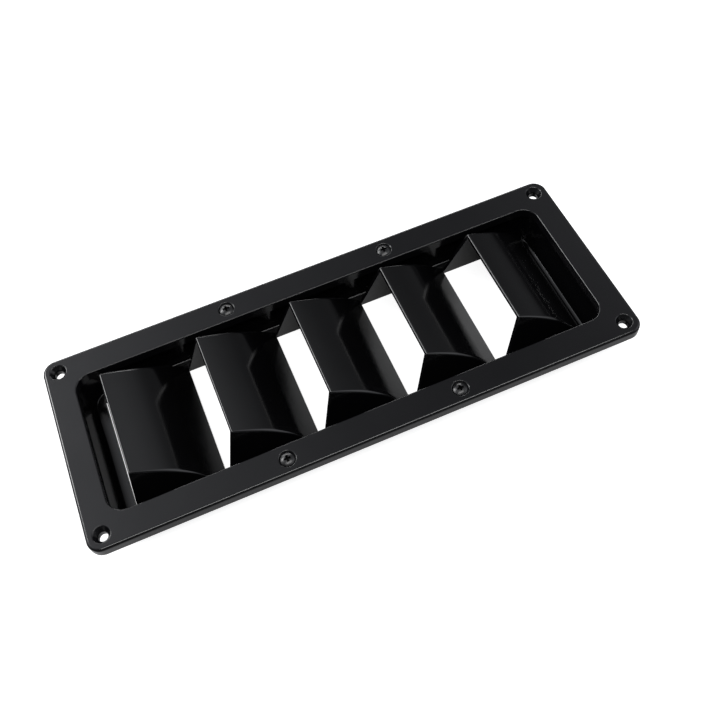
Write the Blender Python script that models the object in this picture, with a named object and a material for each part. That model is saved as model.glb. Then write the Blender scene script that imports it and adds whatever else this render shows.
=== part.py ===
"""Louvred vent grille: a screwed two-piece cover with five raised louvre hoods.

A flat front frame closes over a moulded louvre tub. The tub has a mounting flange of
its own, a deep rectangular well, and five hoods that rise out of the well and open
towards -X. Four oval-head screws hold the frame to bosses under the tub's flange, and
the four corner holes are left for the screws that fasten the vent to its panel.

Units are metres, +Z is up out of the panel, +X runs along the length. The origin is
under the middle of the well's floor, where the part rests on a table.
"""

import math

import bmesh
import bpy

# Flange outline, shared by the frame and the tub
FLANGE_LENGTH = 0.325
FLANGE_WIDTH = 0.1235
FLANGE_CORNER_RADIUS = 0.0080
END_BORDER = 0.0157
SIDE_BORDER = 0.0173

# Front frame
FRAME_THICKNESS = 0.0032
FRAME_EDGE_ROUND = 0.0018
OPENING_EDGE_ROUND = 0.0006
RIM_WALL = 0.0024
OPENING_CORNER_RADIUS = 0.0095
SKIRT_DEPTH = 0.0030
SKIRT_WALL = 0.0020
SEAT_GAP = 0.0003

# Louvre tub
TUB_FLANGE_THICKNESS = 0.0030
TUB_DEPTH = 0.0226
TUB_WALL = 0.0030
TUB_SIDE_WALL = 0.0058
TUB_FLOOR = 0.0035
TUB_END_DRAFT = 0.0058
TUB_SIDE_DRAFT = 0.0005
TUB_EDGE_ROUND = 0.0025
WELL_FILLET = 0.0020

# Louvre hoods
LOUVRE_COUNT = 5
LOUVRE_RISE = 0.0127
LOUVRE_THROAT = 0.0114
LOUVRE_SKIN = 0.0022
CHEEK_LAND = 0.0047
CHEEK_SLOPE = 0.235
ROOF_ANGLE = math.radians(28.5)
BACK_ANGLE = math.radians(50.0)
ROOF_BEND_RADIUS = 0.055
NOSE_ROUND = 0.0009
RIDGE_ROUND_FRONT = 0.0008
RIDGE_ROUND_BACK = 0.0055
RIDGE_GROWTH = 0.8
MOUTH_STEP = 0.0006
FIRST_LAND = 0.0018
FIRST_LEDGE = 0.0051
LAST_LAND = 0.0015

# Screws and their holes
HOLE_MARGIN = 0.0087
JOINING_SCREW_SPACING = 0.1020
SCREW_SHANK_RADIUS = 0.0019
SCREW_HEAD_RADIUS = 0.0042
SCREW_HEAD_CROWN = 0.0012
SCREW_LENGTH = 0.0140
SCREW_TIP_LENGTH = 0.0025
RECESS_SPAN = 0.0050
RECESS_WIDTH = 0.0012
RECESS_DEPTH = 0.0020
COUNTERSINK_RADIUS = 0.0052
HOLE_CLEARANCE = 0.0008
BOSS_WALL = 0.0026
BOSS_FLOOR = 0.0015

# Facets of the round stretches
CORNER_SEGMENTS = 8
EDGE_SEGMENTS = 3
ROOF_SEGMENTS = 6
RIDGE_SEGMENTS = 4
NOSE_SEGMENTS = 3
ROUND_SEGMENTS = 28
OVERCUT = 0.001

# Heights that follow from the sizes above
Z_FLOOR = TUB_FLOOR
Z_TUB_FLANGE_LOW = TUB_DEPTH
Z_TUB_FLANGE_TOP = Z_TUB_FLANGE_LOW + TUB_FLANGE_THICKNESS
Z_FRAME_LOW = Z_TUB_FLANGE_TOP + SEAT_GAP
Z_FRAME_TOP = Z_FRAME_LOW + FRAME_THICKNESS
NOSE_DROP = NOSE_ROUND * (math.tan(ROOF_ANGLE) + 1 / math.cos(ROOF_ANGLE))
Z_LEADING_EDGE = Z_FRAME_TOP + LOUVRE_RISE + NOSE_DROP - NOSE_ROUND

# Half sizes that follow from the sizes above
OPENING_HALF = (FLANGE_LENGTH / 2 - END_BORDER, FLANGE_WIDTH / 2 - SIDE_BORDER)
WELL_TOP_HALF = tuple(half + SKIRT_WALL + SEAT_GAP for half in OPENING_HALF)
WELL_FLOOR_HALF = (WELL_TOP_HALF[0] - TUB_END_DRAFT, WELL_TOP_HALF[1] - TUB_SIDE_DRAFT)
CHEEK_FOOT_HALF = WELL_FLOOR_HALF[1] - CHEEK_LAND
WELL_CORNER_RADIUS = OPENING_CORNER_RADIUS + SKIRT_WALL + SEAT_GAP
SHANK_HOLE_RADIUS = SCREW_SHANK_RADIUS + HOLE_CLEARANCE
BOSS_HOLE_RADIUS = SCREW_SHANK_RADIUS + SEAT_GAP


def clear_scene():
    """Remove whatever the opened file holds."""
    for thing in list(bpy.data.objects):
        bpy.data.objects.remove(thing, do_unlink=True)


def moulded_plastic(name, colour, roughness):
    """Return a Principled material for one moulded part."""
    material = bpy.data.materials.new(name)
    material.use_nodes = True
    shader = material.node_tree.nodes["Principled BSDF"]
    shader.inputs["Base Color"].default_value = (*colour, 1.0)
    shader.inputs["Roughness"].default_value = roughness
    shader.inputs["Metallic"].default_value = 0.0
    material.diffuse_color = (*colour, 1.0)
    return material


def object_from(name, mesh_builder, material=None):
    """Turn a filled bmesh into an object with its faces pointing out."""
    bmesh.ops.recalc_face_normals(mesh_builder, faces=mesh_builder.faces)
    mesh = bpy.data.meshes.new(name)
    mesh_builder.to_mesh(mesh)
    mesh_builder.free()
    thing = bpy.data.objects.new(name, mesh)
    bpy.context.collection.objects.link(thing)
    if material is not None:
        mesh.materials.append(material)
    return thing


def rounded_rectangle(half_x, half_y, radius, z):
    """Points of a rectangle with round corners, anticlockwise from +X +Y."""
    radius = min(radius, half_x, half_y)
    points = []
    corners = ((1, 1, 0), (-1, 1, 90), (-1, -1, 180), (1, -1, 270))
    for side_x, side_y, start in corners:
        centre_x = side_x * (half_x - radius)
        centre_y = side_y * (half_y - radius)
        for step in range(CORNER_SEGMENTS + 1):
            angle = math.radians(start + 90 * step / CORNER_SEGMENTS)
            x = centre_x + radius * math.cos(angle)
            y = centre_y + radius * math.sin(angle)
            points.append((x, y, z))
    return points


def loft(name, sections, material=None):
    """Skin a stack of matching loops and cap both ends."""
    builder = bmesh.new()
    rings = []
    for section in sections:
        rings.append([builder.verts.new(point) for point in section])
    for lower, upper in zip(rings, rings[1:]):
        count = len(lower)
        for index in range(count):
            following = (index + 1) % count
            quad = (lower[index], lower[following], upper[following], upper[index])
            builder.faces.new(quad)
    builder.faces.new(rings[0][::-1])
    builder.faces.new(rings[-1])
    return object_from(name, builder, material)


def turned(name, profile, centre, material=None):
    """Revolve (radius, height) pairs, from low to high, about an upright axis."""
    sections = []
    for radius, height in profile:
        ring = []
        for step in range(ROUND_SEGMENTS):
            angle = 2 * math.pi * step / ROUND_SEGMENTS
            x = centre[0] + radius * math.cos(angle)
            y = centre[1] + radius * math.sin(angle)
            ring.append((x, y, height))
        sections.append(ring)
    return loft(name, sections, material)


def combine(target, tool, operation):
    """Apply an exact boolean to target and discard the tool."""
    modifier = target.modifiers.new(operation.lower(), "BOOLEAN")
    modifier.operation = operation
    modifier.solver = "EXACT"
    modifier.object = tool
    bpy.context.view_layer.update()
    graph = bpy.context.evaluated_depsgraph_get()
    result = bpy.data.meshes.new_from_object(target.evaluated_get(graph))
    target.modifiers.clear()
    spent = target.data
    target.data = result
    result.name = target.name
    bpy.data.meshes.remove(spent)
    bpy.data.objects.remove(tool, do_unlink=True)


def shade(thing, limit_degrees=32.0):
    """Shade round stretches smooth and keep real corners sharp."""
    thing.data.shade_smooth()
    thing.data.set_sharp_from_angle(angle=math.radians(limit_degrees))


def rounding_steps(radius):
    """Yield (inset, rise) pairs of a quarter-round edge, from side to face."""
    for step in range(1, EDGE_SEGMENTS + 1):
        angle = math.pi / 2 * step / EDGE_SEGMENTS
        yield radius * (1 - math.cos(angle)), radius * math.sin(angle)


def plate(name, half, radius, z_low, z_high, top_round, material=None):
    """A flat plate with round corners and a rounded upper edge."""
    sections = [rounded_rectangle(*half, radius, z_low)]
    shoulder = z_high - top_round
    sections.append(rounded_rectangle(*half, radius, shoulder))
    if top_round > 0:
        for inset, rise in rounding_steps(top_round):
            size = (half[0] - inset, half[1] - inset)
            sections.append(rounded_rectangle(*size, radius - inset, shoulder + rise))
    return loft(name, sections, material)


def hole_centres(x_offset):
    """The four places of a hole pattern at plus and minus x_offset."""
    y_offset = FLANGE_WIDTH / 2 - HOLE_MARGIN
    places = []
    for side_x in (-1, 1):
        for side_y in (-1, 1):
            places.append((side_x * x_offset, side_y * y_offset))
    return places


def corner_holes():
    """Centres of the empty holes that fasten the vent to its panel."""
    return hole_centres(FLANGE_LENGTH / 2 - HOLE_MARGIN)


def joining_holes():
    """Centres of the screws that join the frame to the tub."""
    return hole_centres(JOINING_SCREW_SPACING / 2)


def build_frame(material):
    """The front frame: a face with an outer rim, an inner skirt and eight holes."""
    half = (FLANGE_LENGTH / 2, FLANGE_WIDTH / 2)
    frame = plate("front_frame", half, FLANGE_CORNER_RADIUS, Z_TUB_FLANGE_LOW, Z_FRAME_TOP,
                  FRAME_EDGE_ROUND, material)
    rim_inside = tuple(size - RIM_WALL for size in half)
    combine(frame, plate("rim_inside", rim_inside, FLANGE_CORNER_RADIUS - RIM_WALL,
                         Z_TUB_FLANGE_LOW - OVERCUT, Z_FRAME_LOW, 0.0), "DIFFERENCE")
    skirt_half = tuple(size + SKIRT_WALL for size in OPENING_HALF)
    skirt_low = Z_FRAME_LOW - SKIRT_DEPTH
    skirt_top = Z_FRAME_LOW + FRAME_THICKNESS / 2
    skirt_radius = OPENING_CORNER_RADIUS + SKIRT_WALL
    skirt = plate("skirt", skirt_half, skirt_radius, skirt_low, skirt_top, 0.0)
    combine(frame, skirt, "UNION")
    combine(frame, opening_cutter(), "DIFFERENCE")
    for centre in corner_holes() + joining_holes():
        combine(frame, countersink_cutter(centre), "DIFFERENCE")
    shade(frame)
    return frame


def opening_cutter():
    """The frame's opening, flared over its rounded upper edge."""
    low = Z_FRAME_LOW - SKIRT_DEPTH - OVERCUT
    shoulder = Z_FRAME_TOP - OPENING_EDGE_ROUND
    radius = OPENING_CORNER_RADIUS
    sections = [rounded_rectangle(*OPENING_HALF, radius, low)]
    sections.append(rounded_rectangle(*OPENING_HALF, radius, shoulder))
    for flare, rise in rounding_steps(OPENING_EDGE_ROUND):
        size = (OPENING_HALF[0] + flare, OPENING_HALF[1] + flare)
        sections.append(rounded_rectangle(*size, radius + flare, shoulder + rise))
    size = (OPENING_HALF[0] + flare, OPENING_HALF[1] + flare)
    sections.append(rounded_rectangle(*size, radius + flare, Z_FRAME_TOP + OVERCUT))
    return loft("opening_cutter", sections)


def countersink_cutter(centre):
    """A through hole with a square-angle countersink at the frame's face."""
    cone_low = Z_FRAME_TOP - (COUNTERSINK_RADIUS - SHANK_HOLE_RADIUS)
    profile = [
        (SHANK_HOLE_RADIUS, Z_FRAME_LOW - OVERCUT),
        (SHANK_HOLE_RADIUS, cone_low),
        (COUNTERSINK_RADIUS, Z_FRAME_TOP),
        (COUNTERSINK_RADIUS, Z_FRAME_TOP + OVERCUT),
    ]
    return turned("countersink_cutter", profile, centre)


def build_tub(material):
    """The louvre tub: flange, well, screw bosses and the hoods moulded in it."""
    inset = RIM_WALL + SEAT_GAP
    half = (FLANGE_LENGTH / 2 - inset, FLANGE_WIDTH / 2 - inset)
    radius = FLANGE_CORNER_RADIUS - inset
    tub = plate("louvre_tub", half, radius, Z_TUB_FLANGE_LOW, Z_TUB_FLANGE_TOP, 0.0, material)
    combine(tub, tub_outside(), "UNION")
    for centre in joining_holes():
        combine(tub, screw_boss(centre), "UNION")
    combine(tub, well_cutter(), "DIFFERENCE")
    for centre in joining_holes():
        combine(tub, boss_hole(centre), "DIFFERENCE")
    for centre in corner_holes():
        combine(tub, corner_hole(centre), "DIFFERENCE")
    louvres = louvre_places()
    for foot, leading, trailing in louvres:
        combine(tub, hood_outside(foot, leading, trailing), "UNION")
    for foot, leading, trailing in louvres:
        combine(tub, hood_inside(foot, leading, trailing), "DIFFERENCE")
    shade(tub)
    return tub


def tub_outside():
    """The outer shape of the well, tapered and rounded at its foot.

    Its side walls are thicker than its end walls, to carry the screw bosses.
    """
    walls = (TUB_WALL, TUB_SIDE_WALL)
    foot = tuple(half + wall for half, wall in zip(WELL_FLOOR_HALF, walls))
    head = tuple(half + wall for half, wall in zip(WELL_TOP_HALF, walls))
    radius = WELL_CORNER_RADIUS + TUB_WALL
    sections = []
    for inset, rise in reversed(list(rounding_steps(TUB_EDGE_ROUND))):
        size = (foot[0] - inset, foot[1] - inset)
        sections.append(rounded_rectangle(*size, radius - inset, TUB_EDGE_ROUND - rise))
    sections.append(rounded_rectangle(*foot, radius, TUB_EDGE_ROUND))
    top = Z_TUB_FLANGE_LOW + TUB_FLANGE_THICKNESS / 2
    sections.append(rounded_rectangle(*head, radius, top))
    return loft("tub_outside", sections)


def well_cutter():
    """The inside of the well, with a fillet where wall and floor meet."""
    sections = []
    steps = list(rounding_steps(WELL_FILLET))
    for inset, rise in reversed(steps):
        size = (WELL_FLOOR_HALF[0] - inset, WELL_FLOOR_HALF[1] - inset)
        z = Z_FLOOR + WELL_FILLET - rise
        sections.append(rounded_rectangle(*size, WELL_CORNER_RADIUS - inset, z))
    z = Z_FLOOR + WELL_FILLET
    sections.append(rounded_rectangle(*WELL_FLOOR_HALF, WELL_CORNER_RADIUS, z))
    skirt_seat = Z_FRAME_LOW - SKIRT_DEPTH - SEAT_GAP
    for z in (skirt_seat, Z_TUB_FLANGE_TOP + OVERCUT):
        sections.append(rounded_rectangle(*WELL_TOP_HALF, WELL_CORNER_RADIUS, z))
    return loft("well_cutter", sections)


def screw_tip_height():
    """Height of the joining screws' points."""
    return Z_FRAME_TOP - SCREW_LENGTH


def screw_boss(centre):
    """A blind boss under the flange that a joining screw cuts into."""
    radius = BOSS_HOLE_RADIUS + BOSS_WALL
    low = screw_tip_height() - SEAT_GAP - BOSS_FLOOR
    top = Z_TUB_FLANGE_LOW + TUB_FLANGE_THICKNESS / 2
    return turned("screw_boss", [(radius, low), (radius, top)], centre)


def boss_hole(centre):
    """The blind pilot hole of a boss."""
    low = screw_tip_height() - SEAT_GAP
    profile = [(BOSS_HOLE_RADIUS, low), (BOSS_HOLE_RADIUS, Z_TUB_FLANGE_TOP + OVERCUT)]
    return turned("boss_hole", profile, centre)


def corner_hole(centre):
    """A clear hole through the tub's flange under each corner countersink."""
    low = Z_TUB_FLANGE_LOW - OVERCUT
    profile = [(SHANK_HOLE_RADIUS, low), (SHANK_HOLE_RADIUS, Z_TUB_FLANGE_TOP + OVERCUT)]
    return turned("corner_hole", profile, centre)


def louvre_places():
    """Return (foot, leading, trailing) X positions of each hood, from -X to +X."""
    start = -WELL_FLOOR_HALF[0] + FIRST_LAND
    pitch = (WELL_FLOOR_HALF[0] - LAST_LAND - start) / LOUVRE_COUNT
    places = []
    for index in range(LOUVRE_COUNT):
        before = start + pitch * index
        foot = max(before, -WELL_FLOOR_HALF[0] + FIRST_LEDGE)
        places.append((foot, before + LOUVRE_THROAT, before + pitch))
    return places


def roof_line(leading, trailing, offset):
    """Points (x, z) of a hood's roof and back, moved inwards by offset.

    Two straight runs, the roof and the steeper back, meet in a round bend.
    """
    lead_x = leading
    lead_z = Z_LEADING_EDGE - offset / math.cos(ROOF_ANGLE)
    foot_x = trailing - offset / math.sin(BACK_ANGLE)
    fall_roof = math.tan(ROOF_ANGLE)
    fall_back = math.tan(BACK_ANGLE)
    height = lead_z - Z_FLOOR
    bend_run = (fall_back * (foot_x - lead_x) - height) / (fall_back - fall_roof)
    bend = (lead_x + bend_run, lead_z - fall_roof * bend_run)
    radius = ROOF_BEND_RADIUS - offset
    turn = BACK_ANGLE - ROOF_ANGLE
    tangent = radius * math.tan(turn / 2)
    start = (bend[0] - tangent * math.cos(ROOF_ANGLE), bend[1] + tangent * math.sin(ROOF_ANGLE))
    centre = (start[0] - radius * math.sin(ROOF_ANGLE), start[1] - radius * math.cos(ROOF_ANGLE))
    points = [(lead_x, lead_z)]
    for step in range(ROOF_SEGMENTS + 1):
        angle = ROOF_ANGLE + turn * step / ROOF_SEGMENTS
        x = centre[0] + radius * math.sin(angle)
        z = centre[1] + radius * math.cos(angle)
        points.append((x, z))
    points.append((foot_x, Z_FLOOR))
    return points


def cheek_half_width(z):
    """Half width of a hood's outside at height z: the cheeks lean inwards above."""
    return CHEEK_FOOT_HALF - CHEEK_SLOPE * (z - Z_FLOOR)


def cheek_to_cheek(name, outline, thinner):
    """Close an (x, z) outline between two leaning cheeks."""
    builder = bmesh.new()
    sides = []
    for side in (-1, 1):
        ring = []
        for x, z in outline:
            half = cheek_half_width(z) - thinner
            ring.append(builder.verts.new((x, side * half, z)))
        sides.append(ring)
    near, far = sides
    count = len(outline)
    for index in range(count):
        following = (index + 1) % count
        builder.faces.new((near[index], near[following], far[following], far[index]))
    builder.faces.new(near[::-1])
    builder.faces.new(far)
    return object_from(name, builder)


def hood_section(head, foot, ridge_round):
    """One arch across a hood, from its near foot over the roof to its far foot.

    head and foot are (x, z) points: the arch leans from foot to head, its legs follow
    the cheeks, and ridge_round rounds the two ridges between cheek and roof.
    """
    height = math.hypot(head[0] - foot[0], head[1] - foot[1])
    drop_share = (head[1] - foot[1]) / height
    lean = math.atan(CHEEK_SLOPE * drop_share)
    turn = math.pi / 2 - lean
    ridge_round = min(ridge_round, height / 2)
    centre_y = cheek_half_width(head[1]) - ridge_round * math.tan(turn / 2)
    centre_up = height - ridge_round
    arch = [(cheek_half_width(foot[1]), 0.0)]
    for step in range(RIDGE_SEGMENTS + 1):
        angle = lean + turn * step / RIDGE_SEGMENTS
        y = centre_y + ridge_round * math.cos(angle)
        arch.append((y, centre_up + ridge_round * math.sin(angle)))
    points = []
    for side, half_arch in ((-1, arch), (1, arch[::-1])):
        for y, up in half_arch:
            x = foot[0] + (head[0] - foot[0]) * up / height
            z = foot[1] + (head[1] - foot[1]) * up / height
            points.append((x, side * y, z))
    return points


def nose_line(leading):
    """Points (x, z) of a hood's rounded leading edge, from its front to its roof."""
    centre = (leading + NOSE_ROUND, Z_LEADING_EDGE - NOSE_DROP)
    points = []
    for step in range(NOSE_SEGMENTS + 1):
        angle = math.pi - (math.pi / 2 + ROOF_ANGLE) * step / NOSE_SEGMENTS
        x = centre[0] + NOSE_ROUND * math.cos(angle)
        points.append((x, centre[1] + NOSE_ROUND * math.sin(angle)))
    return points


def hood_outside(foot, leading, trailing):
    """The full outer block of one hood, its mouth and back sunk into the floor.

    The leading edge is rounded; the ridges are crisp there and grow rounder down the
    roof.
    """
    sink = TUB_FLOOR / 2
    low = Z_FLOOR - sink
    heads = nose_line(leading) + roof_line(leading, trailing, 0.0)[1:]
    heads[-1] = (trailing + (sink - MOUTH_STEP) / math.tan(BACK_ANGLE), low + MOUTH_STEP)
    lean = (leading - foot - MOUTH_STEP) / (heads[0][1] - Z_FLOOR)
    first_foot = foot + MOUTH_STEP - lean * sink
    last_foot = heads[-1][0] + MOUTH_STEP
    sections = []
    for index, head in enumerate(heads):
        share = index / (len(heads) - 1)
        growth = min(1.0, (head[0] - leading) / (trailing - leading) / RIDGE_GROWTH)
        ridge_round = RIDGE_ROUND_FRONT + (RIDGE_ROUND_BACK - RIDGE_ROUND_FRONT) * growth
        section_foot = (first_foot + (last_foot - first_foot) * share, low)
        sections.append(hood_section(head, section_foot, ridge_round))
    return loft("hood_outside", sections)


def hood_inside(foot, leading, trailing):
    """The air path under one hood, open at its mouth and through the floor."""
    roof = roof_line(leading, trailing, LOUVRE_SKIN)
    reach = leading - foot
    mouth_top = (foot, roof[0][1] + reach * math.tan(ROOF_ANGLE))
    sill = MOUTH_STEP
    back_foot = (roof[-1][0] + sill / math.tan(BACK_ANGLE), Z_FLOOR - sill)
    outline = [mouth_top] + roof[1:-1] + [back_foot]
    outline += [(back_foot[0], -OVERCUT), (foot, -OVERCUT)]
    thinner = LOUVRE_SKIN * math.hypot(1, CHEEK_SLOPE)
    return cheek_to_cheek("hood_inside", outline, thinner)


def screw_profile():
    """(radius, height) pairs of an oval-head screw, from its point to its crown."""
    tip = screw_tip_height()
    seat = SEAT_GAP * math.sqrt(2)
    rim_depth = COUNTERSINK_RADIUS - SCREW_HEAD_RADIUS - seat
    rim = Z_FRAME_TOP - rim_depth
    neck = rim - (SCREW_HEAD_RADIUS - SCREW_SHANK_RADIUS)
    profile = [(SCREW_SHANK_RADIUS * 0.15, tip), (SCREW_SHANK_RADIUS, tip + SCREW_TIP_LENGTH)]
    profile += [(SCREW_SHANK_RADIUS, neck), (SCREW_HEAD_RADIUS, rim)]
    crown_radius = (SCREW_HEAD_RADIUS ** 2 + SCREW_HEAD_CROWN ** 2) / (2 * SCREW_HEAD_CROWN)
    spread = math.asin(SCREW_HEAD_RADIUS / crown_radius)
    rings = 5
    for step in range(1, rings):
        angle = spread * (1 - step / rings)
        radius = crown_radius * math.sin(angle)
        height = rim + SCREW_HEAD_CROWN - crown_radius * (1 - math.cos(angle))
        profile.append((radius, height))
    return profile, rim + SCREW_HEAD_CROWN


def recess_cutter(centre, top, along_x):
    """One bar of a cross recess, tapered towards its bottom."""
    span = RECESS_SPAN / 2
    width = RECESS_WIDTH / 2
    sections = []
    for share, z in ((0.45, top - RECESS_DEPTH), (1.0, top + OVERCUT)):
        half = (span * share, width) if along_x else (width, span * share)
        ring = []
        for side_x, side_y in ((-1, -1), (1, -1), (1, 1), (-1, 1)):
            ring.append((centre[0] + side_x * half[0], centre[1] + side_y * half[1], z))
        sections.append(ring)
    return loft("recess_cutter", sections)


def build_screw(name, centre, material):
    """One oval-head, cross-recess screw seated in its countersink."""
    profile, top = screw_profile()
    screw = turned(name, profile, centre, material)
    combine(screw, recess_cutter(centre, top, True), "DIFFERENCE")
    combine(screw, recess_cutter(centre, top, False), "DIFFERENCE")
    shade(screw)
    return screw


def build():
    """Build every piece of the vent."""
    clear_scene()
    frame_plastic = moulded_plastic("black_abs_frame", (0.012, 0.012, 0.013), 0.32)
    tub_plastic = moulded_plastic("black_abs_tub", (0.010, 0.010, 0.011), 0.26)
    screw_finish = moulded_plastic("black_screw", (0.008, 0.008, 0.009), 0.30)
    build_frame(frame_plastic)
    build_tub(tub_plastic)
    names = ("left_near", "left_far", "right_near", "right_far")
    for place, centre in zip(names, joining_holes()):
        build_screw(f"screw_{place}", centre, screw_finish)


if __name__ == "__main__":
    build()
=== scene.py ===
"""A louvred vent grille in black moulded ABS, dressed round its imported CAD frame.

A front frame closes over a louvre tub with five raised hoods, and four oval-head screws
join the two. Lengths are in metres, +Z is up out of the panel and +X runs along the
length, away from the louvre mouths. The vent rests on its well on a pale table.
"""

from __future__ import annotations

import logging
import math
from collections.abc import Iterator, Sequence
from dataclasses import dataclass, field
from enum import Enum

import bmesh
import bpy
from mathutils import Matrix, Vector


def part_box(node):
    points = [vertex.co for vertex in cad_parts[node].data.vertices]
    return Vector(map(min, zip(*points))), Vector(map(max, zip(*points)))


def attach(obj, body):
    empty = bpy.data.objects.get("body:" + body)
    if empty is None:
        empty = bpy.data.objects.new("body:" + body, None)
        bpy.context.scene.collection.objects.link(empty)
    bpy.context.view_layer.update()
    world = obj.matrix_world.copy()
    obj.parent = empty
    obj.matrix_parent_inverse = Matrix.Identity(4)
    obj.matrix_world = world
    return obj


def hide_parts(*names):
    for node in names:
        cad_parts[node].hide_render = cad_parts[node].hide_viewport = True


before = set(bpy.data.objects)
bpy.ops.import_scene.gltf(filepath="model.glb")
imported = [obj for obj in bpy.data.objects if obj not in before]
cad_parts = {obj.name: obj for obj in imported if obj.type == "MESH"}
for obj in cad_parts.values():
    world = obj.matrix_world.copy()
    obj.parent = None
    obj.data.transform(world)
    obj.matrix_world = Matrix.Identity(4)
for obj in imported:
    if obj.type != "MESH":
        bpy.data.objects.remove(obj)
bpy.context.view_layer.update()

log = logging.getLogger("louvred_vent")

BODY = "root"
MM = 0.001
SEAT_GAP = 0.3 * MM
OVERCUT = 1.0 * MM
FLAT_FACE_WEIGHT = 100

# How far the middle of a rounded corner lies in from the sharp one, as a share of the radius
ROUND_MIDDLE = 0.3

# The sRGB curve: a straight toe, then a power
SRGB_TOE = 0.04045
SRGB_TOE_SLOPE = 12.92
SRGB_OFFSET = 0.055
SRGB_POWER = 2.4

# Sockets of the Mix node where it mixes colours
MIX_FIRST, MIX_SECOND, MIX_RESULT = 6, 7, 2

Point = tuple[float, float, float]
Pair = tuple[float, float]


# Small helpers for meshes

def new_object(name: str, builder: bmesh.types.BMesh) -> bpy.types.Object:
    """Turn a filled bmesh into a linked object with its faces pointing out.

    Args:
        name: Name of the object and of its mesh.
        builder: The mesh to hand over; it is freed.

    Returns:
        The new object.
    """
    bmesh.ops.recalc_face_normals(builder, faces=builder.faces)
    mesh = bpy.data.meshes.new(name)
    builder.to_mesh(mesh)
    builder.free()
    thing = bpy.data.objects.new(name, mesh)
    bpy.context.collection.objects.link(thing)
    return thing


def rounded_rectangle(half: Pair, radius: float, z: float, steps: int = 20) -> list[Point]:
    """Trace a rectangle with round corners, anticlockwise from +X +Y.

    Args:
        half: Half sizes along X and Y.
        radius: Corner radius.
        z: Height of every point.
        steps: Straight stretches in each corner.

    Returns:
        The points of the closed outline.
    """
    radius = min(radius, *half)
    points = []
    for side_x, side_y, start in ((1, 1, 0), (-1, 1, 90), (-1, -1, 180), (1, -1, 270)):
        centre = (side_x * (half[0] - radius), side_y * (half[1] - radius))
        for step in range(steps + 1):
            angle = math.radians(start + 90 * step / steps)
            x = centre[0] + radius * math.cos(angle)
            y = centre[1] + radius * math.sin(angle)
            points.append((x, y, z))
    return points


def quarter_round(radius: float, steps: int = 6) -> Iterator[Pair]:
    """Yield (inset, rise) pairs of a rounded edge, from the side to the face.

    Args:
        radius: Radius of the edge.
        steps: Straight stretches in the quarter circle.

    Yields:
        How far each step lies in from the side and up from the shoulder.
    """
    for step in range(1, steps + 1):
        angle = math.pi / 2 * step / steps
        yield radius * (1 - math.cos(angle)), radius * math.sin(angle)


def loft(name: str, sections: Sequence[Sequence[Point]]) -> bpy.types.Object:
    """Skin a stack of matching closed outlines and cap both ends.

    Args:
        name: Name of the object.
        sections: The outlines, from the lowest up, with equal numbers of points.

    Returns:
        A closed solid.
    """
    builder = bmesh.new()
    rings = [[builder.verts.new(point) for point in section] for section in sections]
    for lower, upper in zip(rings, rings[1:]):
        count = len(lower)
        for index in range(count):
            following = (index + 1) % count
            builder.faces.new((lower[index], lower[following], upper[following], upper[index]))
    builder.faces.new(rings[0][::-1])
    builder.faces.new(rings[-1])
    return new_object(name, builder)


def turned(name: str, profile: Sequence[Pair], centre: Pair,
           steps: int = 56) -> bpy.types.Object:
    """Revolve (radius, height) pairs about an upright axis.

    Args:
        name: Name of the object.
        profile: The pairs, from the lowest up.
        centre: X and Y of the axis.
        steps: Stretches in the full turn.

    Returns:
        A closed solid.
    """
    sections = []
    for radius, height in profile:
        ring = []
        for step in range(steps):
            angle = 2 * math.pi * step / steps
            x = centre[0] + radius * math.cos(angle)
            y = centre[1] + radius * math.sin(angle)
            ring.append((x, y, height))
        sections.append(ring)
    return loft(name, sections)


def merged(name: str, parts: Sequence[bpy.types.Object]) -> bpy.types.Object:
    """Put solids that don't touch each other into one object.

    Args:
        name: Name of the result.
        parts: The solids, which are used up.

    Returns:
        One object that holds all of them.
    """
    builder = bmesh.new()
    for part in parts:
        builder.from_mesh(part.data)
        bpy.data.objects.remove(part, do_unlink=True)
    return new_object(name, builder)


def combine(target: bpy.types.Object, tool: bpy.types.Object, operation: str) -> None:
    """Apply an exact boolean to target and discard the tool.

    Args:
        target: The solid that is changed.
        tool: The solid that is joined to it or cut from it.
        operation: UNION or DIFFERENCE.
    """
    modifier = target.modifiers.new("combine", "BOOLEAN")
    modifier.operation = operation
    modifier.solver = "EXACT"
    modifier.object = tool
    bpy.context.view_layer.update()
    graph = bpy.context.evaluated_depsgraph_get()
    result = bpy.data.meshes.new_from_object(target.evaluated_get(graph))
    target.modifiers.clear()
    target.data = result
    bpy.data.objects.remove(tool, do_unlink=True)


def plate(name: str, half: Pair, radius: float, low: float, high: float,
          edge: float = 0.0) -> bpy.types.Object:
    """Make a flat plate with round corners and a rounded upper edge.

    Args:
        name: Name of the object.
        half: Half sizes along X and Y.
        radius: Corner radius of the outline.
        low: Height of the lower face.
        high: Height of the upper face.
        edge: Radius of the upper edge; 0 leaves it sharp.

    Returns:
        A closed solid.
    """
    shoulder = high - edge
    sections = [rounded_rectangle(half, radius, z) for z in (low, shoulder)]
    if edge > 0:
        for inset, rise in quarter_round(edge):
            size = (half[0] - inset, half[1] - inset)
            sections.append(rounded_rectangle(size, radius - inset, shoulder + rise))
    return loft(name, sections)


def finish_normals(piece: bpy.types.Object, limit: float = 34.0) -> None:
    """Shade round stretches smooth and keep flat faces flat.

    Args:
        piece: The solid to shade.
        limit: Edges sharper than this many degrees stay sharp.
    """
    piece.data.shade_smooth()
    piece.data.set_sharp_from_angle(angle=math.radians(limit))
    weighted = piece.modifiers.new("flat_faces_stay_flat", "WEIGHTED_NORMAL")
    weighted.keep_sharp = True
    weighted.weight = FLAT_FACE_WEIGHT


# Small helpers for materials

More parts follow.
